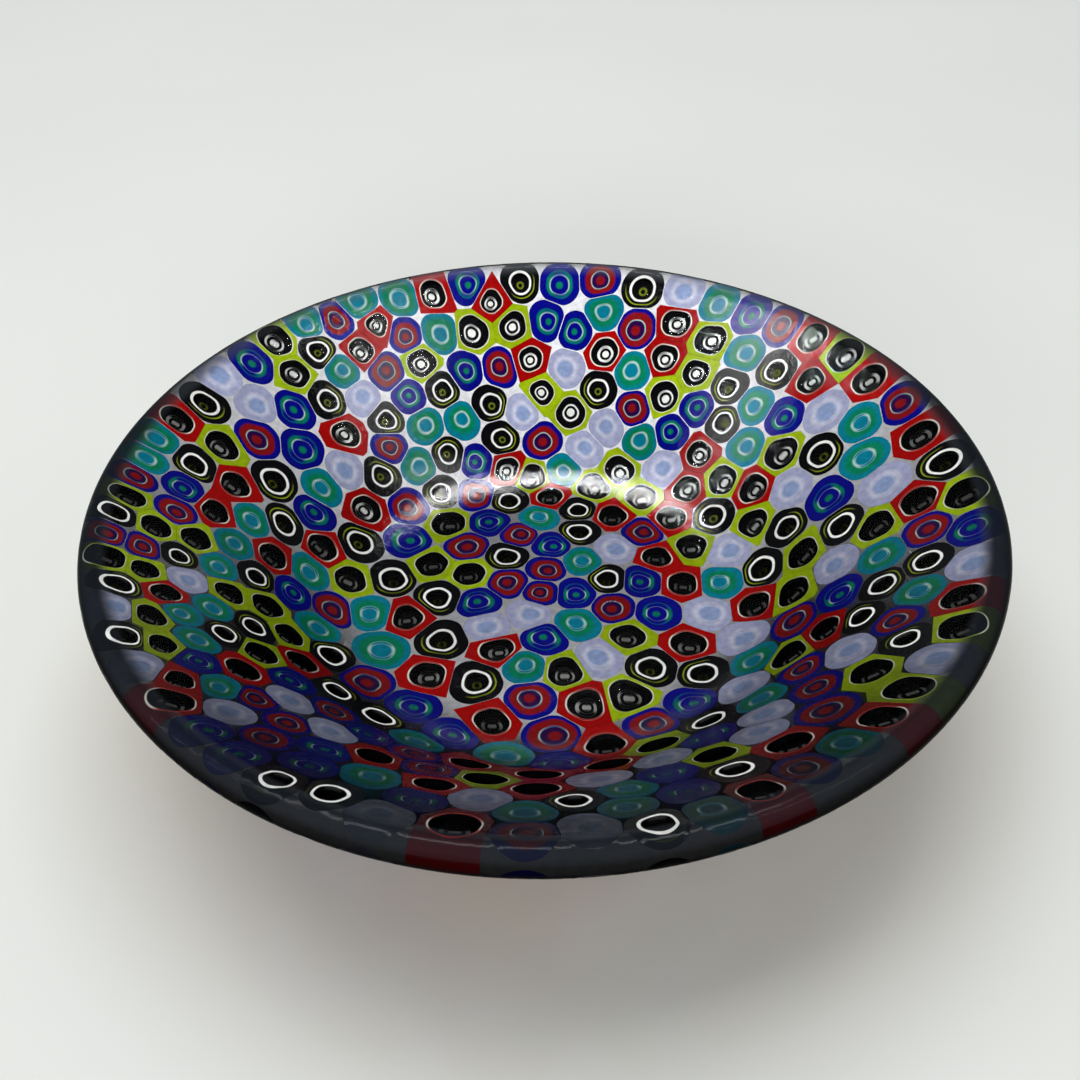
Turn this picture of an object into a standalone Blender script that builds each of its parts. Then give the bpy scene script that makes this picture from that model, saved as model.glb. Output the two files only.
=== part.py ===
"""Murrine art glass bowl: cane slices fused side by side and slumped into a wide bowl.

The glass is laid out as the maker does it. Some 330 slices of patterned cane stand on end
in a round slab, and the slab is then bent over the profile of the bowl. One object is a
patch of about six neighbouring slices, cut along the slices' own edges.
"""

import math

import bmesh
import bpy
import numpy as np
from mathutils import Vector
from mathutils.geometry import delaunay_2d_cdt

# The bowl's profile, as distances along the inner face from the centre of the floor.
THICKNESS = 0.0047
LIP_RADIUS = THICKNESS / 2
FLOOR_ARC = 0.025
HEEL_ARC = 0.047
WALL_ARC = 0.0818
WALL_SLOPE = math.radians(44.0)
RIM_SLOPE = math.radians(36.0)
PROFILE_STEPS = 4000

# The layout of the slices in the flat slab.
LAYOUT_SEED = 21
KIND_SEED = 79894
SLICE_COUNT = 334
SLAB_RADIUS = WALL_ARC + 0.0012
RELAX_ROUNDS = 10
MERGE = 0.0006
GAP = 0.00032
LIP_STEPS = 6

# Each ring of patches: name, number of patches and distance of their centres.
RINGS = (
    ("floor_centre_murrine", 1, 0.0),
    ("floor_murrine", 6, 0.0205),
    ("heel_murrine", 12, 0.0378),
    ("wall_murrine", 17, 0.0563),
    ("rim_murrine", 21, 0.0743),
)

# The glass of each kind of slice: share of all slices, main colour.
SLICE_KINDS = {
    "red": (0.15, (0.61, 0.006, 0.002)),
    "lime": (0.14, (0.40, 0.56, 0.005)),
    "black": (0.17, (0.008, 0.009, 0.010)),
    "cobalt_green": (0.13, (0.004, 0.012, 0.36)),
    "cobalt_brick": (0.14, (0.12, 0.006, 0.14)),
    "turquoise": (0.15, (0.003, 0.24, 0.31)),
    "lavender": (0.12, (0.42, 0.42, 0.66)),
}


def remove_old_objects():
    """Empty the scene of objects."""
    for old in list(bpy.data.objects):
        bpy.data.objects.remove(old, do_unlink=True)


def profile_table():
    """Arc length, slope, radius and height along the inner face, from the floor's centre."""
    arc = np.linspace(0.0, WALL_ARC, PROFILE_STEPS)
    rise = np.clip((arc - FLOOR_ARC) / (HEEL_ARC - FLOOR_ARC), 0.0, 1.0)
    flare = np.clip((arc - HEEL_ARC) / (WALL_ARC - HEEL_ARC), 0.0, 1.0)
    slope = WALL_SLOPE * rise**2 * (3 - 2 * rise)
    slope += (RIM_SLOPE - WALL_SLOPE) * flare**2 * (3 - 2 * flare)
    middle = (slope[1:] + slope[:-1]) / 2
    step = np.diff(arc)
    radius = np.concatenate(([0.0], np.cumsum(np.cos(middle) * step)))
    height = THICKNESS + np.concatenate(([0.0], np.cumsum(np.sin(middle) * step)))
    return arc, slope, radius, height


def slump(point, table):
    """Bend a point of the flat slab, whose z is minus its depth, over the bowl's profile."""
    arc, slope, radius, height = table
    reach = math.hypot(point.x, point.y)
    angle = math.atan2(point.y, point.x)
    depth = -point.z
    overhang = 0.0
    if reach > WALL_ARC - GAP / 2:
        turn = math.pi * depth / THICKNESS
        overhang = LIP_RADIUS * math.sin(turn)
        depth = LIP_RADIUS * (1 - math.cos(turn))
        reach = WALL_ARC
    tilt = np.interp(reach, arc, slope)
    out = np.interp(reach, arc, radius) + overhang * math.cos(tilt) + depth * math.sin(tilt)
    up = np.interp(reach, arc, height) + overhang * math.sin(tilt) - depth * math.cos(tilt)
    return Vector((out * math.cos(angle), out * math.sin(angle), up))


def circumcentre(a, b, c):
    """Centre of the circle through three points of the slab's plane."""
    ab = b - a
    ac = c - a
    twice_area = 2 * (ab[0] * ac[1] - ab[1] * ac[0])
    ab_square = ab @ ab
    ac_square = ac @ ac
    shift_x = ac[1] * ab_square - ab[1] * ac_square
    shift_y = ab[0] * ac_square - ac[0] * ab_square
    return a + np.array((shift_x, shift_y)) / twice_area


def slice_outlines(centres):
    """The outline of each slice: the region of the round slab nearest to its centre.

    Reflections of the centres in the slab's edge stand outside it, so that the outer row
    of slices ends along the edge.
    """
    reach = np.linalg.norm(centres, axis=1)
    outer = reach > SLAB_RADIUS - 0.03
    mirror_scale = (2 * SLAB_RADIUS - reach[outer]) / reach[outer]
    everything = np.vstack((centres, centres[outer] * mirror_scale[:, None]))
    result = delaunay_2d_cdt([Vector(p) for p in everything], [], [], 0, 1e-9)
    triangles = [[result[3][corner][0] for corner in face] for face in result[2]]
    corners = [[] for _ in centres]
    for triangle in triangles:
        if min(triangle) >= len(centres):
            continue
        centre = circumcentre(*everything[triangle])
        if max(triangle) >= len(centres):
            centre *= SLAB_RADIUS / np.linalg.norm(centre)
        for index in triangle:
            if index < len(centres):
                corners[index].append(centre)
    return [sort_around(centre, ring) for centre, ring in zip(centres, corners)]


def sort_around(centre, corners):
    """Corners in order around their centre, each once."""
    offsets = np.array(corners) - centre
    order = np.argsort(np.arctan2(offsets[:, 1], offsets[:, 0]))
    ring = np.array(corners)[order]
    apart = np.linalg.norm(ring - np.roll(ring, 1, axis=0), axis=1) > 1e-6
    return ring[apart]


def centre_of_area(ring):
    """Centroid of a flat outline."""
    following = np.roll(ring, -1, axis=0)
    cross = ring[:, 0] * following[:, 1] - following[:, 0] * ring[:, 1]
    return ((ring + following) * cross[:, None]).sum(axis=0) / (3 * cross.sum())


def lay_out_slices():
    """Outlines of all slices, spread evenly over the slab but not in rows."""
    rng = np.random.default_rng(LAYOUT_SEED)
    reach = SLAB_RADIUS * np.sqrt(rng.random(SLICE_COUNT))
    angle = 2 * math.pi * rng.random(SLICE_COUNT)
    centres = np.column_stack((reach * np.cos(angle), reach * np.sin(angle)))
    for _ in range(RELAX_ROUNDS):
        centres = np.array([centre_of_area(ring) for ring in slice_outlines(centres)])
    shares = [share for share, _ in SLICE_KINDS.values()]
    kinds = np.random.default_rng(KIND_SEED).choice(list(SLICE_KINDS), SLICE_COUNT, p=shares)
    return centres, slice_outlines(centres), kinds


def shared_corners(outlines):
    """Corners of all outlines, each once, and each outline as indices of corners.

    Corners closer together than MERGE become one, and those as close to the slab's edge
    stand on it, so that no slice has a side too short for the gap between patches.
    """
    points = np.vstack(outlines)
    reach = np.linalg.norm(points, axis=1)
    at_edge = reach > WALL_ARC - MERGE
    points[at_edge] *= (WALL_ARC / reach[at_edge])[:, None]
    corners = []
    number = np.empty(len(points), int)
    for index in np.argsort(~at_edge, kind="stable"):
        apart = [math.dist(points[index], known) for known in corners]
        if not apart or min(apart) > MERGE:
            corners.append(points[index])
            apart.append(0.0)
        number[index] = int(np.argmin(apart))
    starts = np.cumsum([0] + [len(ring) for ring in outlines])
    loops = [number[first:last] for first, last in zip(starts, starts[1:])]
    return np.array(corners), [loop[loop != np.roll(loop, 1)] for loop in loops]


def patch_centres():
    """Name and flat position of every patch, ring by ring, clockwise from the front."""
    places = []
    for ring_name, count, distance in RINGS:
        for index in range(count):
            angle = -math.pi / 2 - 2 * math.pi * index / count
            name = ring_name if count == 1 else f"{ring_name}_{index + 1:02d}"
            places.append((name, distance * np.array((math.cos(angle), math.sin(angle)))))
    return places


def flat_patch(corners, loops):
    """The slices of one patch as flat faces, drawn in from its neighbours by half the gap."""
    bm = bmesh.new()
    vertices = {}
    for index in sorted({index for loop in loops for index in loop}):
        x, y = corners[index]
        reach = math.hypot(x, y)
        scale = (WALL_ARC + GAP / 2) / reach if reach > WALL_ARC - 1e-6 else 1.0
        vertices[index] = bm.verts.new((x * scale, y * scale, 0.0))
    for loop in loops:
        bm.faces.new([vertices[index] for index in loop])
    split_rim_edges(bm)
    bmesh.ops.recalc_face_normals(bm, faces=bm.faces)
    border = bmesh.ops.inset_region(
        bm, faces=bm.faces[:], thickness=GAP / 2, use_boundary=True, use_even_offset=True
    )
    bmesh.ops.delete(bm, geom=border["faces"], context="FACES")
    bmesh.ops.poke(bm, faces=bm.faces[:])
    return bm


def split_rim_edges(bm):
    """Halve the edges along the slab's edge, and set the new points on its circle."""
    edge_reach = WALL_ARC + GAP / 2
    rim = [e for e in bm.edges if min(v.co.length for v in e.verts) > edge_reach - 1e-5]
    if not rim:
        return
    bmesh.ops.subdivide_edges(bm, edges=rim, cuts=1)
    for vertex in bm.verts:
        if vertex.co.length > edge_reach - GAP:
            vertex.co *= edge_reach / vertex.co.length


def thicken(bm):
    """Give the flat patch the slab's thickness, with rows of points for the rounded lip."""
    grown = bmesh.ops.extrude_face_region(bm, geom=bm.faces[:])
    for item in grown["geom"]:
        if isinstance(item, bmesh.types.BMVert):
            item.co.z = -THICKNESS
    upright = []
    for edge in bm.edges:
        at_rim = min(v.co.xy.length for v in edge.verts) > WALL_ARC - GAP / 2
        if at_rim and abs(edge.verts[0].co.z - edge.verts[1].co.z) > THICKNESS / 2:
            upright.append(edge)
    if upright:
        bmesh.ops.subdivide_edges(bm, edges=upright, cuts=LIP_STEPS - 1, use_grid_fill=True)


def patch_mesh(name, corners, loops, origin, table):
    """Closed mesh of one patch, bent over the bowl, with its points relative to origin."""
    bm = flat_patch(corners, loops)
    thicken(bm)
    for vertex in bm.verts:
        vertex.co = slump(vertex.co, table) - origin
    bmesh.ops.triangulate(bm, faces=bm.faces[:], quad_method="SHORT_EDGE")
    bmesh.ops.recalc_face_normals(bm, faces=bm.faces)
    mesh = bpy.data.meshes.new(name)
    bm.to_mesh(mesh)
    bm.free()
    mesh.shade_smooth()
    mesh.set_sharp_from_angle(angle=math.radians(40.0))
    return mesh


def glass_material(name, colour):
    """Satin glass in the colour of the patch's central slice."""
    material = bpy.data.materials.new(name)
    material.use_nodes = True
    shader = material.node_tree.nodes["Principled BSDF"]
    shader.inputs["Base Color"].default_value = (*colour, 1.0)
    shader.inputs["Roughness"].default_value = 0.32
    shader.inputs["Metallic"].default_value = 0.0
    shader.inputs["IOR"].default_value = 1.5
    material.diffuse_color = (*colour, 1.0)
    return material


def build_bowl():
    """Make every patch of the bowl and hang them all on one empty."""
    collection = bpy.data.collections.new("art_glass_bowl")
    bpy.context.scene.collection.children.link(collection)
    bowl = bpy.data.objects.new("art_glass_bowl", None)
    collection.objects.link(bowl)
    table = profile_table()
    centres, outlines, kinds = lay_out_slices()
    corners, loops = shared_corners(outlines)
    places = patch_centres()
    seeds = np.array([place for _, place in places])
    distance = np.linalg.norm(centres[:, None, :] - seeds[None, :, :], axis=2)
    patch_of_slice = distance.argmin(axis=1)
    for index, (name, place) in enumerate(places):
        members = np.flatnonzero(patch_of_slice == index)
        origin = slump(Vector((place[0], place[1], 0.0)), table)
        mesh = patch_mesh(name, corners, [loops[i] for i in members], origin, table)
        patch = bpy.data.objects.new(name, mesh)
        collection.objects.link(patch)
        patch.parent = bowl
        patch.location = origin
        central = kinds[distance[:, index].argmin()]
        mesh.materials.append(glass_material(f"{name}_{central}_glass", SLICE_KINDS[central][1]))


remove_old_objects()
build_bowl()
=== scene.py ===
"""Looks of a murrine art glass bowl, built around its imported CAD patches.

Each patch is rebuilt as the cane slices it holds, every slice with its rings of colour, and
the clear casing glass between them. All of it is laid out flat, in the same seeded pattern
as the CAD part, and bent over the bowl's profile.
"""

import math

import bmesh
import bpy
import numpy as np
from mathutils import Matrix, Vector
from mathutils.geometry import delaunay_2d_cdt
from mathutils.kdtree import KDTree


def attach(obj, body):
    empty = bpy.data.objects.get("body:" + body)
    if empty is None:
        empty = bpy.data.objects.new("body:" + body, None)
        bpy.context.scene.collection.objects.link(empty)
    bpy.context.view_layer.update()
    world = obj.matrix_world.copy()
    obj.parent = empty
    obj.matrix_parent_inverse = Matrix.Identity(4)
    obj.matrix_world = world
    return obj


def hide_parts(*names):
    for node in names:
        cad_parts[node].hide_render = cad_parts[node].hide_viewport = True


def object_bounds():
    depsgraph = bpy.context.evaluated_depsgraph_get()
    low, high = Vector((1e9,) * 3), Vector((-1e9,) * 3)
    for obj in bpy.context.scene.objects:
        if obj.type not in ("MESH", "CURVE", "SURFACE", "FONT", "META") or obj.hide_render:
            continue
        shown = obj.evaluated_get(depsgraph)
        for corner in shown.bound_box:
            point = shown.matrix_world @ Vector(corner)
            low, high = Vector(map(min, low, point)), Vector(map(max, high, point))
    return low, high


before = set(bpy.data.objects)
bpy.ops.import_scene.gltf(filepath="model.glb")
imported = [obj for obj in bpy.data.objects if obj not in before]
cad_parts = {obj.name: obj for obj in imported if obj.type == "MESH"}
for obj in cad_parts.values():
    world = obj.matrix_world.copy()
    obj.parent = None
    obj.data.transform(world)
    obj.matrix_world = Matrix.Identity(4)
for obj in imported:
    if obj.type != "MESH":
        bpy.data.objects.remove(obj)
cad_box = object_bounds()

# The bowl's profile, as in the CAD part: distances along the inner face, in metres.
THICKNESS = 0.0047
LIP_RADIUS = THICKNESS / 2
FLOOR_ARC = 0.025
HEEL_ARC = 0.047
WALL_ARC = 0.0818
WALL_SLOPE = math.radians(44.0)
RIM_SLOPE = math.radians(36.0)
PROFILE_STEPS = 4000
LIP_ARC = WALL_ARC + LIP_RADIUS * math.pi / 2
LIP_TRIM = 0.00006

# The layout of the slices in the flat slab, as in the CAD part. The seeds were picked out
# of many, for an even mix of kinds and for how the kinds follow each other on the lip.
LAYOUT_SEED = 21
KIND_SEED = 79894
SLICE_COUNT = 334
SLAB_RADIUS = WALL_ARC + 0.0012
RELAX_ROUNDS = 10
MIRROR_BAND = 0.03
MERGE = 0.0006
RINGS = (
    ("floor_centre_murrine", 1, 0.0),
    ("floor_murrine", 6, 0.0205),
    ("heel_murrine", 12, 0.0378),
    ("wall_murrine", 17, 0.0563),
    ("rim_murrine", 21, 0.0743),
)
KIND_SHARES = {
    "red": 0.15,
    "lime": 0.14,
    "black": 0.17,
    "cobalt_green": 0.13,
    "cobalt_brick": 0.14,
    "turquoise": 0.15,
    "lavender": 0.12,
}

# Fine mesh of the visible glass.
MILLIMETRE = 0.001
BORDER_STEP = 0.0008
LOOP_STEP = 0.0011
OUTLINE_WAVES = 72
LIP_STEPS = 7
JOIN = 2e-7
CREASE = math.radians(38.0)

# How a slice stands in its cell. Its body keeps an inset from the cell's outline, which grows
# between the two INSET_REACH distances from the floor's centre.
LARGEST_REACH = 0.0056
BODY_GAP = 0.00002
FLOOR_INSET = 0.00009
WALL_INSET = 0.00016
INSET_REACH = (0.025, 0.055)
DRIFT = 0.0003
LEAN = (0.0001, 0.0005)
INNERMOST = 0.08

# The dark well in a slice: depths of its lid, its foot and the glass below the foot.
WELL_LID = 0.00008
WELL_DEPTH = 0.0010
WELL_BOTTOM = 0.0013

# Glass colours: red, green, blue, and how much of the colour survives in the dark lip.
RED = (0.35, 0.001, 0.001, 0.06)
LIME = (0.32, 0.45, 0.004, 0.03)
MOSS = (0.30, 0.38, 0.01, 0.03)
BLACK = (0.002, 0.002, 0.003, 0.0)
WHITE = (0.90, 0.90, 0.86, 0.90)
CREAM = (0.80, 0.76, 0.66, 0.5)
COBALT = (0.001, 0.002, 0.21, 0.05)
GREEN = (0.001, 0.19, 0.09, 0.05)
BRICK = (0.22, 0.004, 0.006, 0.10)
INDIGO = (0.02, 0.001, 0.05, 0.04)
SMOKE = (0.10, 0.10, 0.10, 0.1)
TURQUOISE = (0.001, 0.18, 0.27, 0.05)
PALE = (0.42, 0.62, 0.58, 0.2)
LAVENDER = (0.36, 0.38, 0.56, 0.02)
MILK = (0.56, 0.57, 0.70, 0.02)
PALE_BLUE = (0.26, 0.34, 0.56, 0.02)
OLIVE = (0.16, 0.20, 0.01, 0.05)
CASING = (0.86, 0.86, 0.89, 0.01)
CASING_CLEARNESS = 0.6
WINDOW_CLEARNESS = 0.94
OPEN_FROM = 0.9

# Painted reflection: colours that stand for the room a polished lip would mirror, in its top,
# in its underside and, more faintly, in the lip across the bowl.
LIP_TOP_REFLECTION = (0.008, 0.010, 0.013)
LIP_UNDERSIDE_REFLECTION = (0.0005, 0.0005, 0.0006)
FAR_LIP_REFLECTION = (0.12, 0.13, 0.14)


def profile_table():
    """Arc length, slope, radius and height along the inner face, from the floor's centre."""
    arc = np.linspace(0.0, WALL_ARC, PROFILE_STEPS)
    rise = np.clip((arc - FLOOR_ARC) / (HEEL_ARC - FLOOR_ARC), 0.0, 1.0)
    flare = np.clip((arc - HEEL_ARC) / (WALL_ARC - HEEL_ARC), 0.0, 1.0)
    slope = WALL_SLOPE * rise**2 * (3 - 2 * rise)
    slope += (RIM_SLOPE - WALL_SLOPE) * flare**2 * (3 - 2 * flare)
    middle = (slope[1:] + slope[:-1]) / 2
    step = np.diff(arc)
    radius = np.concatenate(([0.0], np.cumsum(np.cos(middle) * step)))
    height = THICKNESS + np.concatenate(([0.0], np.cumsum(np.sin(middle) * step)))
    return arc, slope, radius, height


PROFILE = profile_table()
# How far out along the rim's slope the rounded lip begins.
LIP_START = PROFILE[2][-1] * math.cos(RIM_SLOPE) + PROFILE[3][-1] * math.sin(RIM_SLOPE)

# The camera's place, from the centre of the circle through the lip's middle and in units
# of that circle's radius, and its aim.
CAMERA_PLACE = (0.0, -1.980, 1.556)
CAMERA_AIM = (-0.00335, 0.75002, -0.66140)
CAMERA_ROLL = -0.0189
SENSOR_WIDTH = 36.0
FOCAL_LENGTH = 36.1

# The table top: half its side, its gap to the bowl, and its paint in the open and below the
# bowl. The warmer paint there stands for light that has come through coloured glass.
TABLE_HALF = 3.0
TABLE_GAP = 0.0002
OPEN_PAINT = (0.79, 0.80, 0.765)
PAINTED_GLASS_LIGHT = (0.80, 0.75, 0.67)

# Strip lamps hang at this height: name, place x and y, length, width and power in watts.
STRIP_HEIGHT = 0.62
STRIP_LAMPS = (
    ("middle", -0.04, 0.21, 0.48, 0.16, 34.0),
    ("left", -0.56, 0.06, 0.58, 0.05, 6.0),
    ("right", 0.38, -0.05, 0.36, 0.05, 3.0),
)


def slump(flat, depth, relief=0.0):
    """Bend points of the flat slab over the bowl. depth is 0 on the inner face.

    Beyond WALL_ARC the flat distance runs round the lip: the inner face's half for depth 0
    and the outer face's half for depth THICKNESS.
    """
    arc, slope, radius, height = PROFILE
    reach = np.linalg.norm(flat, axis=1)
    turn = np.clip((reach - WALL_ARC) / LIP_RADIUS, 0.0, math.pi / 2)
    share = 1 - 2 * np.asarray(depth) / THICKNESS
    overhang = (LIP_RADIUS - LIP_TRIM) * np.sin(turn)
    down = LIP_RADIUS - LIP_RADIUS * share * np.cos(turn) - relief
    tilt = np.interp(reach, arc, slope)
    out = np.interp(reach, arc, radius) + overhang * np.cos(tilt) + down * np.sin(tilt)
    up = np.interp(reach, arc, height) + overhang * np.sin(tilt) - down * np.cos(tilt)
    across = flat / np.maximum(reach, 1e-9)[:, None]
    return np.column_stack((across * out[:, None], up))


def circumcentre(a, b, c):
    """Centre of the circle through three points of the slab's plane."""
    ab = b - a
    ac = c - a
    twice_area = 2 * (ab[0] * ac[1] - ab[1] * ac[0])
    ab_square = ab @ ab
    ac_square = ac @ ac
    shift_x = ac[1] * ab_square - ab[1] * ac_square
    shift_y = ab[0] * ac_square - ac[0] * ab_square
    return a + np.array((shift_x, shift_y)) / twice_area


def slice_outlines(centres):
    """The outline of each slice: the region of the round slab nearest to its centre."""
    reach = np.linalg.norm(centres, axis=1)
    outer = reach > SLAB_RADIUS - MIRROR_BAND
    mirror_scale = (2 * SLAB_RADIUS - reach[outer]) / reach[outer]
    everything = np.vstack((centres, centres[outer] * mirror_scale[:, None]))
    result = delaunay_2d_cdt([Vector(p) for p in everything], [], [], 0, 1e-9)
    triangles = [[result[3][corner][0] for corner in face] for face in result[2]]
    corners = [[] for _ in centres]
    for triangle in triangles:
        if min(triangle) >= len(centres):
            continue
        centre = circumcentre(*everything[triangle])
        if max(triangle) >= len(centres):
            centre *= SLAB_RADIUS / np.linalg.norm(centre)
        for index in triangle:
            if index < len(centres):
                corners[index].append(centre)
    return [sort_around(centre, ring) for centre, ring in zip(centres, corners)]


def sort_around(centre, corners):
    """Corners in order around their centre, each once."""
    offsets = np.array(corners) - centre
    order = np.argsort(np.arctan2(offsets[:, 1], offsets[:, 0]))
    ring = np.array(corners)[order]
    apart = np.linalg.norm(ring - np.roll(ring, 1, axis=0), axis=1) > 1e-6
    return ring[apart]


def centre_of_area(ring):
    """Centroid of a flat outline."""
    following = np.roll(ring, -1, axis=0)
    cross = ring[:, 0] * following[:, 1] - following[:, 0] * ring[:, 1]
    return ((ring + following) * cross[:, None]).sum(axis=0) / (3 * cross.sum())


def lay_out_slices():
    """Outlines of all slices, spread evenly over the slab but not in rows."""
    rng = np.random.default_rng(LAYOUT_SEED)
    reach = SLAB_RADIUS * np.sqrt(rng.random(SLICE_COUNT))
    angle = 2 * math.pi * rng.random(SLICE_COUNT)
    centres = np.column_stack((reach * np.cos(angle), reach * np.sin(angle)))
    for _ in range(RELAX_ROUNDS):
        centres = np.array([centre_of_area(ring) for ring in slice_outlines(centres)])
    shares = list(KIND_SHARES.values())
    kinds = np.random.default_rng(KIND_SEED).choice(list(KIND_SHARES), SLICE_COUNT, p=shares)
    return centres, slice_outlines(centres), kinds


def patch_centres():
    """Name and flat position of every patch, ring by ring, clockwise from the front."""
    places = []
    for ring_name, count, distance in RINGS:
        for index in range(count):
            angle = -math.pi / 2 - 2 * math.pi * index / count
            name = ring_name if count == 1 else f"{ring_name}_{index + 1:02d}"
            places.append((name, distance * np.array((math.cos(angle), math.sin(angle)))))
    return places


def shared_corners(outlines):
    """Corners of all outlines, each once, and each outline as indices of corners.

    Corners closer together than MERGE become one, and those as close to the slab's edge
    stand on it.
    """
    points = np.vstack(outlines)
    reach = np.linalg.norm(points, axis=1)
    at_edge = reach > WALL_ARC - MERGE
    points[at_edge] *= (WALL_ARC / reach[at_edge])[:, None]
    corners = []
    number = np.empty(len(points), int)
    for index in np.argsort(~at_edge, kind="stable"):
        apart = [math.dist(points[index], known) for known in corners]
        if not apart or min(apart) > MERGE:
            corners.append(points[index])
            apart.append(0.0)
        number[index] = int(np.argmin(apart))
    starts = np.cumsum([0] + [len(ring) for ring in outlines])
    loops = [number[first:last] for first, last in zip(starts, starts[1:])]
    return np.array(corners), [loop[loop != np.roll(loop, 1)] for loop in loops]


def border_points(corners, a, b):
    """Points from corner a up to but not including corner b, the same set both ways."""
    start, end = corners[min(a, b)], corners[max(a, b)]
    count = max(2, round(np.linalg.norm(end - start) / BORDER_STEP))
    share = np.arange(count + 1) / count
    points = start + (end - start) * share[:, None]
    return points[:-1] if a < b else points[::-1][:-1]


def rim_points(start, end):
    """Points up the side, round the lip's edge and down again for a slice on the rim."""
    reach_up = np.linspace(WALL_ARC, LIP_ARC, LIP_STEPS)
    first = math.atan2(start[1], start[0])
    sweep = (math.atan2(end[1], end[0]) - first + math.pi) % (2 * math.pi) - math.pi
    count = max(6, round(abs(sweep) * LIP_ARC / BORDER_STEP))
    angles = first + sweep * np.arange(count + 1) / count
    polar = [(reach, first) for reach in reach_up[:-1]]
    polar += [(LIP_ARC, angle) for angle in angles[:-1]]
    polar += [(reach, angles[-1]) for reach in reach_up[:0:-1]]
    return np.array([(r * math.cos(a), r * math.sin(a)) for r, a in polar])


def slice_border(corners, loop):
    """Fine closed border of a slice. Slices on the rim reach on round the lip."""
    on_edge = np.linalg.norm(corners[loop], axis=1) > WALL_ARC - 1e-6
    pieces = []
    for place, index in enumerate(loop):
        after = (place + 1) % len(loop)
        following = loop[after]
        if on_edge[place] and on_edge[after]:
            pieces.append(rim_points(corners[index], corners[following]))
        else:
            pieces.append(border_points(corners, index, following))
    return np.vstack(pieces)


def smooth_reach(angles, reach, softness):
    """How far a slice reaches in each direction, with the corners of its outline rounded."""
    even = np.arange(OUTLINE_WAVES) * 2 * math.pi / OUTLINE_WAVES - math.pi
    order = np.argsort(angles)
    level = np.interp(even, angles[order], reach[order], period=2 * math.pi)
    waves = np.fft.rfft(level)
    waves *= np.exp(-0.5 * (np.arange(len(waves)) * softness) ** 2)
    return np.interp(angles, even, np.fft.irfft(waves, OUTLINE_WAVES), period=2 * math.pi)


class Slice:
    """One slice of cane in the flat slab: its border, its body's outline and its centre."""

    def __init__(self, border, centre, kind, rng):
        self.border = border
        self.kind = kind
        self.fills = kind in ("red", "lime")
        self.turn = rng.uniform(0, 2 * math.pi)
        away = np.array((math.cos(self.turn), math.sin(self.turn)))
        self.centre = centre + away * rng.uniform(0, DRIFT)
        self.lean = away * rng.uniform(*LEAN)
        offset = border - self.centre
        self.angles = np.arctan2(offset[:, 1], offset[:, 0])
        self.limit = np.linalg.norm(offset, axis=1)
        reach = np.minimum(self.limit, LARGEST_REACH)
        rounded = smooth_reach(self.angles, reach, rng.uniform(0.32, 0.62))
        inset = np.interp(np.linalg.norm(centre), INSET_REACH, (FLOOR_INSET, WALL_INSET))
        inset *= rng.uniform(0.6, 1.5)
        self.body = np.minimum(rounded - inset, self.limit - 0.5 * inset)
        self.swell = rng.uniform(0.92, 1.07)
        self.shade = rng.uniform(0.88, 1.10)

    def loop(self, fraction):
        """Points of the slice's outline shrunk to a fraction, rounder towards the centre."""
        roundness = 0.10 + 0.65 * (1 - fraction)
        reach = self.body * (1 - roundness) + self.body.mean() * roundness
        reach = np.minimum(reach * fraction, self.body - (1 - fraction) * 0.0002)
        return self.place(reach) + self.lean * (1 - fraction)

    def place(self, reach):
        """Points at these distances from the centre, in the directions of the border."""
        along = np.column_stack((np.cos(self.angles), np.sin(self.angles)))
        return self.centre + along * reach[:, None]

    def tip(self):
        """Where the rings close at the slice's middle."""
        return self.centre + self.lean * (1 - INNERMOST)


# Bands of colour from the outside in: outer fraction, colour, clearness, softness of the
# edge, and how thin-walled the band is. A thin wall is bright only where it is seen edge on.
BANDS = {
    "red": (
        (1.0, RED, 0.0, 0.0, 0.0),
        (0.745, CREAM, 0.0, 0.02, 0.9),
        (0.69, BLACK, 0.0, 0.02, 0.0),
        (0.67, BLACK, WINDOW_CLEARNESS, 0.01, 0.0),
    ),
    "lime": (
        (1.0, LIME, 0.0, 0.0, 0.0),
        (0.80, CREAM, 0.0, 0.02, 0.9),
        (0.76, BLACK, 0.0, 0.02, 0.0),
        (0.74, BLACK, WINDOW_CLEARNESS, 0.01, 0.0),
    ),
    "black": (
        (1.0, BLACK, 0.0, 0.0, 0.0),
        (0.79, MOSS, 0.0, 0.02, 0.7),
        (0.74, BLACK, 0.0, 0.05, 0.0),
        (0.60, WHITE, 0.0, 0.02, 0.0),
        (0.49, BLACK, 0.0, 0.02, 0.0),
        (0.47, BLACK, WINDOW_CLEARNESS, 0.01, 0.0),
    ),
    "cobalt_green": (
        (1.0, COBALT, 0.0, 0.0, 0.0),
        (0.65, GREEN, 0.0, 0.10, 0.9),
        (0.50, PALE, 0.0, 0.04, 1.0),
        (0.45, COBALT, 0.0, 0.04, 0.0),
        (0.16, GREEN, 0.0, 0.08, 0.5),
    ),
    "cobalt_brick": (
        (1.0, COBALT, 0.0, 0.0, 0.0),
        (0.78, BRICK, 0.0, 0.08, 0.0),
        (0.48, PALE, 0.0, 0.04, 1.0),
        (0.44, INDIGO, 0.0, 0.04, 0.0),
        (0.22, BRICK, 0.0, 0.08, 0.0),
    ),
    "turquoise": (
        (1.0, TURQUOISE, 0.0, 0.0, 0.0),
        (0.78, GREEN, 0.0, 0.18, 0.0),
        (0.46, PALE, 0.0, 0.08, 1.0),
        (0.36, TURQUOISE, 0.0, 0.08, 0.0),
    ),
    "lavender": (
        (1.0, LAVENDER, 0.0, 0.0, 0.0),
        (0.62, MILK, 0.0, 0.2, 0.6),
        (0.42, PALE_BLUE, 0.0, 0.16, 0.0),
    ),
}

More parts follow.
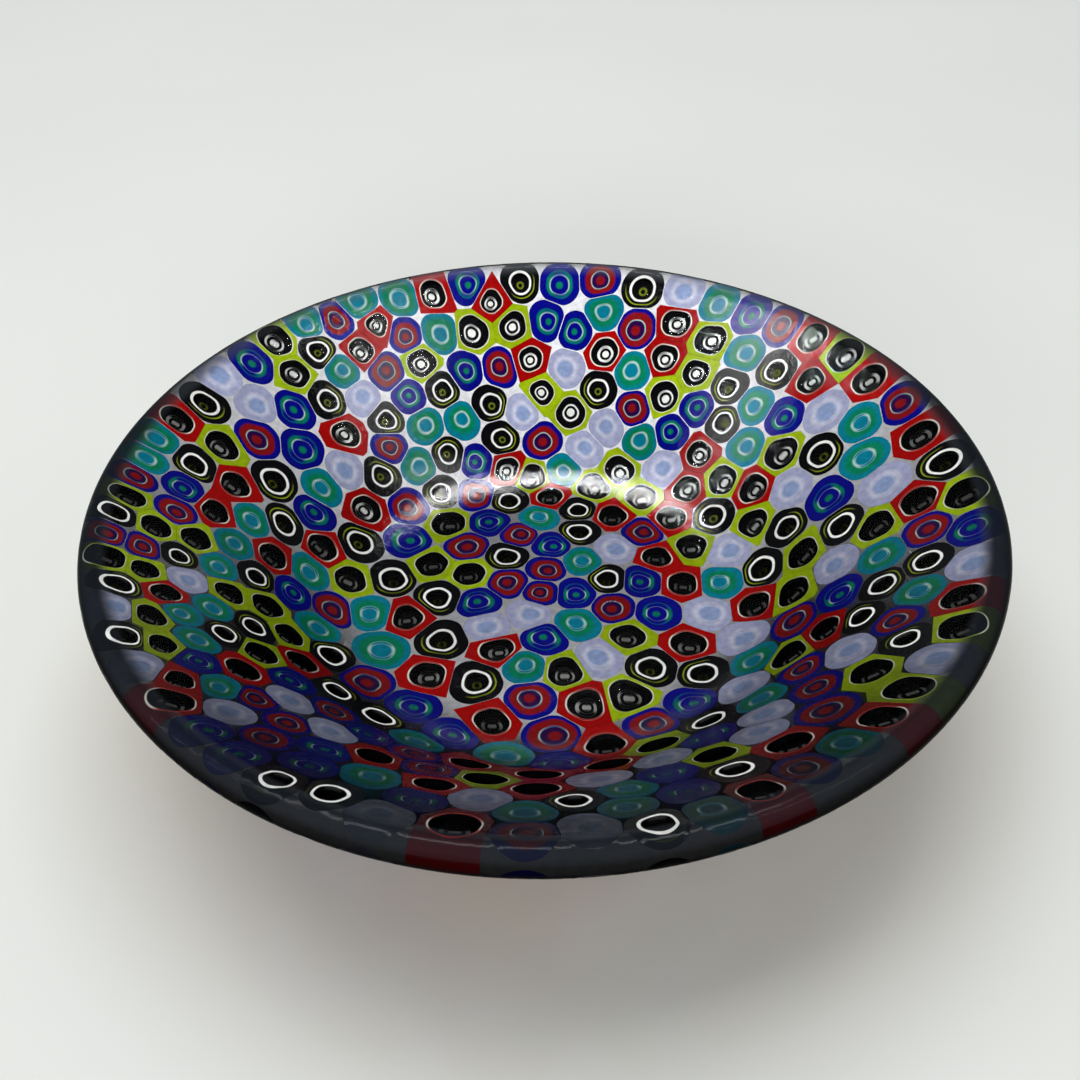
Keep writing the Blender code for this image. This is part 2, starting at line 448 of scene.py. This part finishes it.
# What lies at the bottom of the dark core: outer fraction of the core, colour, thinness.
CORES = {
    "red": ((0.62, WHITE, 1.0), (0.44, BLACK, 0.0), (0.26, WHITE, 0.9)),
    "lime": ((0.58, WHITE, 1.0), (0.46, BLACK, 0.0), (0.28, WHITE, 0.9)),
    "black": ((0.42, OLIVE, 0.6), (0.22, BLACK, 0.0)),
}

# The glass just inside the rim of a core's well.
WELL_RIMS = {"red": BLACK, "lime": BLACK, "black": SMOKE}


class PatchMesh:
    """Points, faces and glass values of one patch while it is being put together."""

    def __init__(self):
        self.points = []
        self.faces = []
        self.values = []
        self.materials = []
        self.count = 0

    def add(self, piece, points, faces, values, material=0):
        """Add faces of a slice over new points, with each point's glass values.

        To them are added the colour that shows where a thin wall does not, and the
        direction across the face away from the slice's centre, as long as the glass is thin.
        """
        faces = np.asarray(faces)
        middle, below = slump(np.tile(piece.tip(), (2, 1)), np.array((0.0, MILLIMETRE)))
        upright = (middle - below) / MILLIMETRE
        away = points - middle
        away -= np.outer(away @ upright, upright)
        away /= np.maximum(np.linalg.norm(away, axis=1), 1e-9)[:, None]
        main = BANDS[piece.kind][0][1] if material == 0 else BLACK
        main = np.tile(np.array(main[:3]) * piece.shade, (len(points), 1))
        everything = np.hstack((values, main, away * values[:, 5:]))
        self.points.append(points)
        self.faces.extend((faces + self.count).tolist())
        self.values.append(everything[faces].reshape(-1, 12))
        self.materials.extend([material] * len(faces))
        self.count += len(points)


def strip_faces(first, second, size, flip=False):
    """Quads between two closed loops that start at these indices."""
    here = np.arange(size)
    following = (here + 1) % size
    quads = np.column_stack((first + here, first + following, second + following, second + here))
    return quads[:, ::-1] if flip else quads


def fan_faces(loop, tip, size, flip=False):
    """Triangles from a closed loop to a tip."""
    here = np.arange(size)
    following = (here + 1) % size
    tips = np.column_stack((loop + here, loop + following, np.full(size, tip)))
    return tips[:, ::-1] if flip else tips


def glass(colour, clear, thin=0.0, shade=1.0):
    """Values of a point of glass: colour, survival in the lip, clearness, thinness."""
    red, green, blue, keep = colour
    return np.array((red * shade, green * shade, blue * shade, keep, clear, thin))


def with_steps(rows):
    """Rows of loop and value, with more rows wherever two lie far apart."""
    out = [rows[0]]
    for (loop_a, value_a), (loop_b, value_b) in zip(rows, rows[1:]):
        steps = math.ceil(np.linalg.norm(loop_b - loop_a, axis=1).max() / LOOP_STEP)
        for step in range(1, steps):
            share = step / steps
            loop = loop_a + (loop_b - loop_a) * share
            out.append((loop, value_a + (value_b - value_a) * share))
        out.append((loop_b, value_b))
    return out


def crescent(piece, value):
    """A band's value at each point of its loop: the band shows on one side of the slice."""
    share = np.clip(np.cos(piece.angles - piece.turn) * 1.4 - 0.1, 0.0, 1.0)[:, None]
    return value * share + glass(BLACK, 0.0) * (1 - share)


def body_rows(piece):
    """Loops and values of a slice's face, from its outline to near its centre."""
    bands = BANDS[piece.kind]
    value = glass(bands[0][1], bands[0][2], 0.0, piece.shade)
    if piece.fills:
        outline = piece.place(piece.limit - BODY_GAP)
    else:
        outline = piece.place(piece.body - BODY_GAP)
    rows = [(outline, value)]
    for fraction, colour, clear, soft, thin in bands[1:]:
        fraction *= piece.swell
        rows.append((piece.loop(fraction + soft / 2), value))
        value = glass(colour, clear, thin, piece.shade)
        if colour is MOSS:
            value = crescent(piece, value)
        rows.append((piece.loop(fraction - soft / 2), value))
    rows.append((piece.loop(INNERMOST), value))
    return with_steps(rows)


def relief(flat, centre_share):
    """Slow waves of the slumped face, and a shallow dip over the middle of each slice."""
    x, y = flat[:, 0], flat[:, 1]
    wave = np.sin(x * 610 + 1.3) * np.sin(y * 540 + 0.4)
    wave += 0.7 * np.sin(x * 890 - y * 420 + 2.1) + 0.5 * np.sin(x * 350 + y * 1130)
    fade = np.clip((WALL_ARC - np.linalg.norm(flat, axis=1)) / 0.004, 0.0, 1.0)
    return (0.000007 * wave - 0.00002 * centre_share) * fade


def add_face(mesh, piece, rows, depth, closed=True):
    """One face of a slice or of its casing: strips between its rows, closed by a tip."""
    size = len(rows[0][0])
    flip = depth > 0.0
    flat = [loop for loop, _ in rows]
    shares = [np.full(size, index / len(rows) * closed) for index in range(len(rows))]
    values = [np.broadcast_to(value, (size, 6)) for _, value in rows]
    if closed:
        flat.append(piece.tip()[None, :])
        shares.append(np.ones(1))
        values.append(rows[-1][1][None, :])
    flat, values = np.vstack(flat), np.vstack(values)
    height = relief(flat, np.concatenate(shares)) if depth == 0.0 else 0.0
    points = slump(flat, np.full(len(flat), depth), height)
    faces = [strip_faces(i * size, (i + 1) * size, size, flip) for i in range(len(rows) - 1)]
    mesh.add(piece, points, np.vstack(faces), values)
    if closed:
        last = (len(rows) - 1) * size
        mesh.add(piece, points, fan_faces(last, len(flat) - 1, size, flip), values)


def add_body(mesh, piece):
    """The slice itself: patterned faces inside and outside the bowl, and its side."""
    rows = body_rows(piece)
    add_face(mesh, piece, rows, 0.0)
    add_face(mesh, piece, [(loop, opaque(value)) for loop, value in rows], THICKNESS)
    add_side(mesh, piece, rows[0][0], rows[0][1], np.ones(len(rows[0][0]), bool), True)


def opaque(value):
    """The same glass where it is seen from outside: dark cores are closed there."""
    value = value.copy()
    value[..., 4] *= value[..., 4] < OPEN_FROM
    return value


def add_side(mesh, piece, loop, value, wanted, outward):
    """Wall through the glass along a closed loop, for the wanted edges."""
    size = len(loop)
    top = slump(loop, np.zeros(size), relief(loop, np.zeros(size)))
    bottom = slump(loop, np.full(size, THICKNESS))
    walls = strip_faces(size, 0, size, flip=not outward)[wanted]
    if len(walls):
        mesh.add(piece, np.vstack((top, bottom)), walls, np.tile(value, (2 * size, 1)))


def add_casing(mesh, piece, wanted):
    """The clear glass round a slice, from its border to the hole its body stands in."""
    value = glass(CASING, CASING_CLEARNESS)
    unseen = glass(CASING, 1.0)
    hole = piece.place(piece.body)
    rows = with_steps([(piece.border, value), (hole, value)])
    add_face(mesh, piece, rows, 0.0, closed=False)
    add_face(mesh, piece, rows, THICKNESS, closed=False)
    add_side(mesh, piece, hole, unseen, np.ones(len(hole), bool), False)
    add_side(mesh, piece, piece.border, unseen, wanted, True)


def free_edges(pieces):
    """For each slice, which edges of its border no other slice of the list shares."""
    middles = [(p.border + np.roll(p.border, -1, axis=0)) / 2 for p in pieces]
    tree = KDTree(sum(len(m) for m in middles))
    owners = []
    for number, middle in enumerate(middles):
        for x, y in middle:
            tree.insert((x, y, 0.0), len(owners))
            owners.append(number)
    tree.balance()
    free = []
    for number, middle in enumerate(middles):
        at_lip = np.linalg.norm(middle, axis=1) > LIP_ARC - 0.0001
        alone = np.array([
            all(owners[i] == number for _, i, _ in tree.find_range((x, y, 0.0), 1e-6))
            for x, y in middle
        ])
        free.append(alone & ~at_lip)
    return free


def add_core(mesh, piece):
    """The dark well under a core's clear top, with the white rings that lie at its foot."""
    window = BANDS[piece.kind][-1][0] * piece.swell
    size = len(piece.border)
    outer, inner = piece.loop(window + 0.05), piece.loop(window + 0.005)
    dark = glass(BLACK, 0.0)
    rim = glass(WELL_RIMS[piece.kind], 0.0)
    rows = [(outer, WELL_BOTTOM, dark), (outer, WELL_LID, dark), (inner, WELL_LID, rim)]
    rows += [(inner, WELL_DEPTH * 0.6, dark), (inner, WELL_DEPTH, dark)]
    value = dark
    for fraction, colour, thin in CORES[piece.kind]:
        rows.append((piece.loop(window * fraction), WELL_DEPTH, value))
        value = glass(colour, 0.0, thin)
        rows.append((piece.loop(window * (fraction - 0.02)), WELL_DEPTH, value))
    points = [slump(loop, np.full(size, depth)) for loop, depth, _ in rows]
    values = [np.tile(value, (size, 1)) for _, _, value in rows]
    for depth, tip_value in ((WELL_DEPTH, value), (WELL_BOTTOM, dark)):
        points.append(slump(piece.tip()[None, :], np.array([depth])))
        values.append(tip_value[None, :])
    points, values = np.vstack(points), np.vstack(values)
    strips = [strip_faces(i * size, (i + 1) * size, size) for i in range(len(rows) - 1)]
    mesh.add(piece, points, np.vstack(strips), values, 1)
    last = (len(rows) - 1) * size
    mesh.add(piece, points, fan_faces(last, last + size, size), values, 1)
    mesh.add(piece, points, fan_faces(0, last + size + 1, size, flip=True), values, 1)


def finished_mesh(name, parts):
    """Blender mesh of a patch, its doubled points joined, with its glass values on faces."""
    mesh = bpy.data.meshes.new(name)
    mesh.from_pydata(np.vstack(parts.points).tolist(), [], parts.faces)
    values = np.vstack(parts.values).astype(np.float32)
    for title, kind, field, first, last in (
        ("glass_colour", "FLOAT_COLOR", "color", 0, 4),
        ("clearness", "FLOAT", "value", 4, 5),
        ("main_colour", "FLOAT_VECTOR", "vector", 6, 9),
        ("thin_wall", "FLOAT_VECTOR", "vector", 9, 12),
    ):
        attribute = mesh.attributes.new(title, kind, "CORNER")
        attribute.data.foreach_set(field, np.ascontiguousarray(values[:, first:last]).ravel())
    mesh.polygons.foreach_set("material_index", np.array(parts.materials, np.int32))
    bm = bmesh.new()
    bm.from_mesh(mesh)
    bmesh.ops.remove_doubles(bm, verts=bm.verts, dist=JOIN)
    bm.to_mesh(mesh)
    bm.free()
    mesh.shade_smooth()
    mesh.set_sharp_from_angle(angle=CREASE)
    return mesh


class Nodes:
    """Short calls for building a material's node tree."""

    def __init__(self, name):
        self.material = bpy.data.materials.new(name)
        self.material.use_nodes = True
        self.tree = self.material.node_tree
        self.tree.nodes.clear()

    def new(self, kind, inputs=(), **settings):
        """A node with its settings, and inputs by name or number: sockets are linked."""
        node = self.tree.nodes.new(kind)
        for key, value in settings.items():
            setattr(node, key, value)
        for key, value in dict(inputs).items():
            if isinstance(value, bpy.types.NodeSocket):
                self.tree.links.new(value, node.inputs[key])
            else:
                node.inputs[key].default_value = value
        return node

    def attribute(self, name):
        """Attribute node of the mesh."""
        return self.new("ShaderNodeAttribute", attribute_name=name).outputs

    def math(self, operation, *values):
        """Output of a Math node."""
        return self.new("ShaderNodeMath", enumerate(values), operation=operation).outputs[0]

    def vector(self, operation, *values):
        """Output of a Vector Math node: a number for DOT_PRODUCT and LENGTH."""
        node = self.new("ShaderNodeVectorMath", enumerate(values), operation=operation)
        return node.outputs["Value" if operation in ("DOT_PRODUCT", "LENGTH") else "Vector"]

    def scaled(self, vector, factor):
        """Vector or colour times a number."""
        node = self.new("ShaderNodeVectorMath", {0: vector, "Scale": factor}, operation="SCALE")
        return node.outputs["Vector"]

    def ramp(self, value, low, high, out_low=0.0, out_high=1.0):
        """Smooth step of a value from low to high."""
        inputs = {0: value, 1: low, 2: high, 3: out_low, 4: out_high}
        node = self.new("ShaderNodeMapRange", inputs, interpolation_type="SMOOTHSTEP")
        return node.outputs[0]

    def noise(self, scale, detail=2.0):
        """Noise in the object's own coordinates."""
        inputs = {"Scale": scale, "Detail": detail, "Vector": self.place()}
        return self.new("ShaderNodeTexNoise", inputs).outputs[0]

    def place(self):
        """Position in the object's own coordinates."""
        return self.new("ShaderNodeTexCoord").outputs["Object"]

    def mix(self, share, first, second):
        """Colour mix."""
        node = self.new("ShaderNodeMix", {0: share}, data_type="RGBA")
        for index, value in ((6, first), (7, second)):
            if isinstance(value, bpy.types.NodeSocket):
                self.tree.links.new(value, node.inputs[index])
            else:
                node.inputs[index].default_value = (*value, 1.0)
        return node.outputs[2]

    def facing(self):
        """Direction to the viewer, surface normal, and the cosine between the two."""
        geometry = self.new("ShaderNodeNewGeometry").outputs
        cosine = self.vector("DOT_PRODUCT", geometry["Incoming"], geometry["Normal"])
        return geometry["Incoming"], geometry["Normal"], self.math("ABSOLUTE", cosine)

    def seen_colour(self):
        """Colour of the glass. Thin walls show only where the line of sight runs along them."""
        incoming, normal, cosine = self.facing()
        upright = self.vector("DOT_PRODUCT", incoming, normal)
        sideways = self.vector("SUBTRACT", incoming, self.scaled(normal, upright))
        through = self.vector("DOT_PRODUCT", sideways, self.attribute("thin_wall")["Vector"])
        hidden = self.ramp(self.math("ABSOLUTE", through), 0.2, 0.5)
        main = self.attribute("main_colour")["Vector"]
        return self.mix(hidden, self.attribute("glass_colour")["Color"], main)

    def finish(self, surface):
        """Connect the surface, and hand over the material."""
        self.new("ShaderNodeOutputMaterial", {"Surface": surface})
        return self.material


def lip_place(n):
    """How far a point is out along the rim's slope, and the direction out along the lip."""
    place = n.place()
    across = n.vector("MULTIPLY", place, (1.0, 1.0, 0.0))
    height = n.vector("DOT_PRODUCT", place, (0.0, 0.0, math.sin(RIM_SLOPE)))
    along = n.math("MULTIPLY_ADD", n.vector("LENGTH", across), math.cos(RIM_SLOPE), height)
    level = n.scaled(n.vector("NORMALIZE", across), math.cos(RIM_SLOPE))
    outward = n.vector("ADD", level, (0.0, 0.0, math.sin(RIM_SLOPE)))
    return along, outward


def dimmed_colour(n, cosine, along, keep):
    """Colour of the body: streaked, with painted shade where the view grazes it, most so by the
    lip.
    """
    streaks = n.ramp(n.noise(900.0, 3.0), 0.3, 0.7, 0.88, 1.1)
    # Painted shade: darker as the view grazes the face, and darker still near the lip where the
    # face is steep to the view.
    grazed = n.ramp(cosine, 0.15, 0.98, 0.22, 1.0)
    steep = n.ramp(cosine, 0.34, 0.62, 1.0, 0.0)
    near_lip = n.ramp(along, LIP_START - 0.020, LIP_START - 0.003, 0.0, 0.85)
    dusk = n.math("MULTIPLY", steep, near_lip)
    grazed = n.math("MULTIPLY", grazed, n.math("SUBTRACT", 1.0, dusk))
    grazed = n.math("MAXIMUM", grazed, keep)
    return n.scaled(n.seen_colour(), n.math("MULTIPLY", streaks, grazed))


def lip_colour(n, body, keep, normal, edge, lost):
    """The body's colour, given way to painted reflections of the room on the polished lip."""
    # Painted reflection: a dim room on the lip's upward face, near black on its underside, and a
    # grey sheen on the lip across the bowl.
    skyward = n.ramp(n.vector("DOT_PRODUCT", normal, (0.0, 0.0, 1.0)), 0.4, 0.9)
    room = n.mix(skyward, LIP_UNDERSIDE_REFLECTION, LIP_TOP_REFLECTION)
    kept = n.vector("ADD", n.scaled(body, keep), room)
    painted_far_lip_reflection = n.mix(n.math("MULTIPLY", edge, 0.4), body, FAR_LIP_REFLECTION)
    return n.mix(lost, painted_far_lip_reflection, kept)


def satin_finish(n, polish):
    """Roughness and bump of the satin face; the bump is less towards the polished lip."""
    coarse = n.noise(700.0)
    grain = n.math("MULTIPLY_ADD", coarse, 1.2, n.noise(3400.0))
    bump = n.new("ShaderNodeBump", {
        "Strength": n.math("MULTIPLY_ADD", polish, -0.17, 0.22),
        "Distance": 0.0002,
        "Height": grain,
    }).outputs[0]
    return n.ramp(coarse, 0.35, 0.65, 0.06, 0.11), bump


def see_through(n, body, cosine, window, polish, finish):
    """Glass to look through: untinted over a well, tinted and sheened where it is casing."""
    satin, bump = finish
    thick = n.new("ShaderNodeGamma", {"Color": body, "Gamma": 0.4}).outputs[0]
    thick = n.scaled(thick, n.ramp(cosine, 0.2, 0.6, 0.6, 1.0))
    tint = n.mix(window, thick, (1, 1, 1))
    through = n.new("ShaderNodeBsdfTransparent", {"Color": tint}).outputs[0]
    sheen = n.new("ShaderNodeBsdfAnisotropic", {"Roughness": satin, "Normal": bump}).outputs[0]
    glaze = n.math("MULTIPLY", n.math("SUBTRACT", 1.0, polish), 0.009)
    return n.new("ShaderNodeMixShader", {0: glaze, 1: through, 2: sheen}).outputs[0]


def murrine_glass():
    """Satin art glass. Colour and clearness come from the mesh; the lip is polished.

    Where a line of sight runs lengthwise through the lip it meets slice after slice, so
    little colour would come back; the lip is given painted shade, nearly black, there. A line
    of sight that grazes the face gets painted shade in the same way, less strongly. The angle
    of view alone sets both: no light is bent.
    """
    n = Nodes("murrine_glass")
    incoming, normal, cosine = n.facing()
    keep = n.attribute("glass_colour")["Alpha"]
    clear = n.attribute("clearness")["Fac"]
    along, outward = lip_place(n)
    polish = n.ramp(along, LIP_START - 0.0030, LIP_START - 0.0002)
    edge = n.ramp(along, LIP_START - 0.0020, LIP_START + 0.0008)
    # Painted shade: the lip is darkened where the view runs lengthwise through it.
    lengthwise = n.ramp(n.vector("DOT_PRODUCT", incoming, outward), -0.45, -0.05)
    lost = n.math("MULTIPLY", edge, lengthwise)
    body = dimmed_colour(n, cosine, along, keep)
    satin, bump = satin_finish(n, polish)
    solid = n.new("ShaderNodeBsdfPrincipled", {
        "Base Color": lip_colour(n, body, keep, normal, edge, lost),
        "Roughness": n.math("MULTIPLY_ADD", polish, 0.05, satin),
        "IOR": 1.5,
        "Specular IOR Level": n.math("MULTIPLY_ADD", polish, -0.066, 0.07),
        "Normal": bump,
    }).outputs[0]
    window = n.ramp(clear, 0.85, 0.92)
    through = see_through(n, body, cosine, window, polish, (satin, bump))
    milky = n.ramp(cosine, 0.48, 0.96, 0.03, 0.9)
    milky = n.math("MULTIPLY", milky, n.math("SUBTRACT", 1.0, window))
    open_share = n.math("MULTIPLY", n.ramp(clear, 0.2, 0.5), n.math("SUBTRACT", 1.0, milky))
    open_share = n.math("MULTIPLY", open_share, n.math("SUBTRACT", 1.0, lost))
    return n.finish(n.new("ShaderNodeMixShader", {0: open_share, 1: solid, 2: through}).outputs[0])


def core_glass():
    """Opaque glass deep in a slice, under its clear top: no sheen of its own, and painted shade at
    an oblique view.
    """
    n = Nodes("core_glass")
    cloud = n.ramp(n.noise(1500.0), 0.3, 0.7, 0.9, 1.05)
    # Painted shade: the well's floor goes nearly black where the view is oblique.
    shut = n.ramp(n.facing()[2], 0.68, 0.92, 0.05, 1.0)
    colour = n.scaled(n.seen_colour(), n.math("MULTIPLY", cloud, shut))
    inputs = {"Base Color": colour, "Roughness": 0.9, "Specular IOR Level": 0.0}
    return n.finish(n.new("ShaderNodeBsdfPrincipled", inputs).outputs[0])


def build_bowl():
    """One piece for each CAD patch, in its place and standing for it."""
    centres, outlines, kinds = lay_out_slices()
    corners, loops = shared_corners(outlines)
    rng = np.random.default_rng(KIND_SEED)
    slices = [
        Slice(slice_border(corners, loop), centre, kind, rng)
        for loop, centre, kind in zip(loops, centres, kinds)
    ]
    places = patch_centres()
    seeds = np.array([place for _, place in places])
    distance = np.linalg.norm(centres[:, None, :] - seeds[None, :, :], axis=2)
    patch_of_slice = distance.argmin(axis=1)
    glasses = (murrine_glass(), core_glass())
    patches = []
    for index, (name, _) in enumerate(places):
        members = [slices[i] for i in np.flatnonzero(patch_of_slice == index)]
        cased = [piece for piece in members if not piece.fills]
        parts = PatchMesh()
        for piece, wanted in zip(cased, free_edges(cased)):
            add_casing(parts, piece, wanted)
        for piece in members:
            add_body(parts, piece)
            if piece.kind in CORES:
                add_core(parts, piece)
        patch = bpy.data.objects.new(name + "_glass", finished_mesh(name + "_glass", parts))
        bpy.context.scene.collection.objects.link(patch)
        for material in glasses:
            patch.data.materials.append(material)
        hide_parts(name)
        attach(patch, "root")
        patches.append(patch)
    return patches


def build_stage():
    """Pale glossy table top under the bowl."""
    mesh = bpy.data.meshes.new("table_top")
    half = TABLE_HALF
    corners = [(-half, -half, 0), (half, -half, 0), (half, half, 0), (-half, half, 0)]
    mesh.from_pydata(corners, [], [(0, 1, 2, 3)])
    table = bpy.data.objects.new("table_top", mesh)
    table.location.z = cad_box[0][2] - TABLE_GAP
    bpy.context.scene.collection.objects.link(table)
    n = Nodes("table_paint")
    cloud = n.ramp(n.noise(6.0, 3.0), 0.3, 0.7, 0.97, 1.0)
    # Painted light: below the bowl the paint is warmer, for light come through its coloured glass.
    clearance = n.ramp(n.vector("LENGTH", n.place()), 0.06, 0.10)
    paint = n.mix(clearance, PAINTED_GLASS_LIGHT, OPEN_PAINT)
    inputs = {"Base Color": n.scaled(paint, cloud), "Roughness": 0.16, "IOR": 1.45}
    mesh.materials.append(n.finish(n.new("ShaderNodeBsdfPrincipled", inputs).outputs[0]))


def add_light(name, place, target, size, power):
    """Soft rectangular light at a place, shining at a target, long side level."""
    data = bpy.data.lights.new(name, "AREA")
    data.shape = "RECTANGLE"
    data.size, data.size_y = size
    data.energy = power
    lamp = bpy.data.objects.new(name, data)
    bpy.context.scene.collection.objects.link(lamp)
    lamp.location = place
    away = Vector(place) - Vector(target)
    lamp.rotation_euler = away.to_track_quat("Z", "Y").to_euler()
    return lamp


def studio_world():
    """Soft room light, brighter at the horizon than overhead."""
    world = bpy.data.worlds.new("studio")
    bpy.context.scene.world = world
    world.use_nodes = True
    tree = world.node_tree
    shade = tree.nodes["Background"]
    coordinates = tree.nodes.new("ShaderNodeTexCoord")
    split = tree.nodes.new("ShaderNodeSeparateXYZ")
    ramp = tree.nodes.new("ShaderNodeMapRange")
    ramp.interpolation_type = "SMOOTHSTEP"
    for socket, value in zip(ramp.inputs[1:5], (-0.1, 0.9, 0.55, 0.25)):
        socket.default_value = value
    tree.links.new(coordinates.outputs["Generated"], split.inputs[0])
    tree.links.new(split.outputs[2], ramp.inputs[0])
    tree.links.new(ramp.outputs[0], shade.inputs["Strength"])
    shade.inputs["Color"].default_value = (0.94, 0.98, 1.0, 1.0)


def build_light(patches):
    """Strip lamps overhead, which only give a shine, and two soft lights, which give none.

    The shine is meant for the bowl alone: the table does not mirror the strip lamps.
    """
    studio_world()
    shined = bpy.data.collections.new("shined")
    for patch in patches:
        shined.objects.link(patch)
    for side, x, y, length, width, power in STRIP_LAMPS:
        place = (x, y, STRIP_HEIGHT)
        strip = add_light("strip_lamp_" + side, place, (x, y, 0.0), (length, width), power)
        strip.visible_diffuse = False
        strip.light_linking.receiver_collection = shined
    middle = (0.0, 0.0, 0.02)
    front = add_light("front_light", (-0.3, -1.6, 0.47), middle, (1.5, 0.5), 20.0)
    back = add_light("back_light", (-0.15, 0.42, 1.3), middle, (1.5, 1.0), 15.0)
    front.visible_glossy = back.visible_glossy = False


def build_camera():
    """Camera at a standing viewer's angle, about 38 degrees down on the lip."""
    low, high = cad_box
    lip = (high.x - low.x) / 2 - LIP_RADIUS
    middle = Vector(((low.x + high.x) / 2, (low.y + high.y) / 2, high.z - LIP_RADIUS))
    data = bpy.data.cameras.new("camera")
    data.sensor_width = SENSOR_WIDTH
    data.lens = FOCAL_LENGTH
    camera = bpy.data.objects.new("camera", data)
    bpy.context.scene.collection.objects.link(camera)
    camera.location = middle + Vector(CAMERA_PLACE) * lip
    forward = Vector(CAMERA_AIM).normalized()
    right = forward.cross(Vector((0.0, 0.0, 1.0))).normalized()
    up = right.cross(forward)
    right, up = right + up * CAMERA_ROLL, up - right * CAMERA_ROLL
    turn = Matrix((right.normalized(), up.normalized(), -forward)).transposed()
    camera.rotation_euler = turn.to_euler()
    bpy.context.scene.camera = camera


bpy.context.scene.view_settings.view_transform = "Standard"
bpy.context.scene.cycles.transparent_max_bounces = 24
bowl_patches = build_bowl()
build_stage()
build_light(bowl_patches)
build_camera()
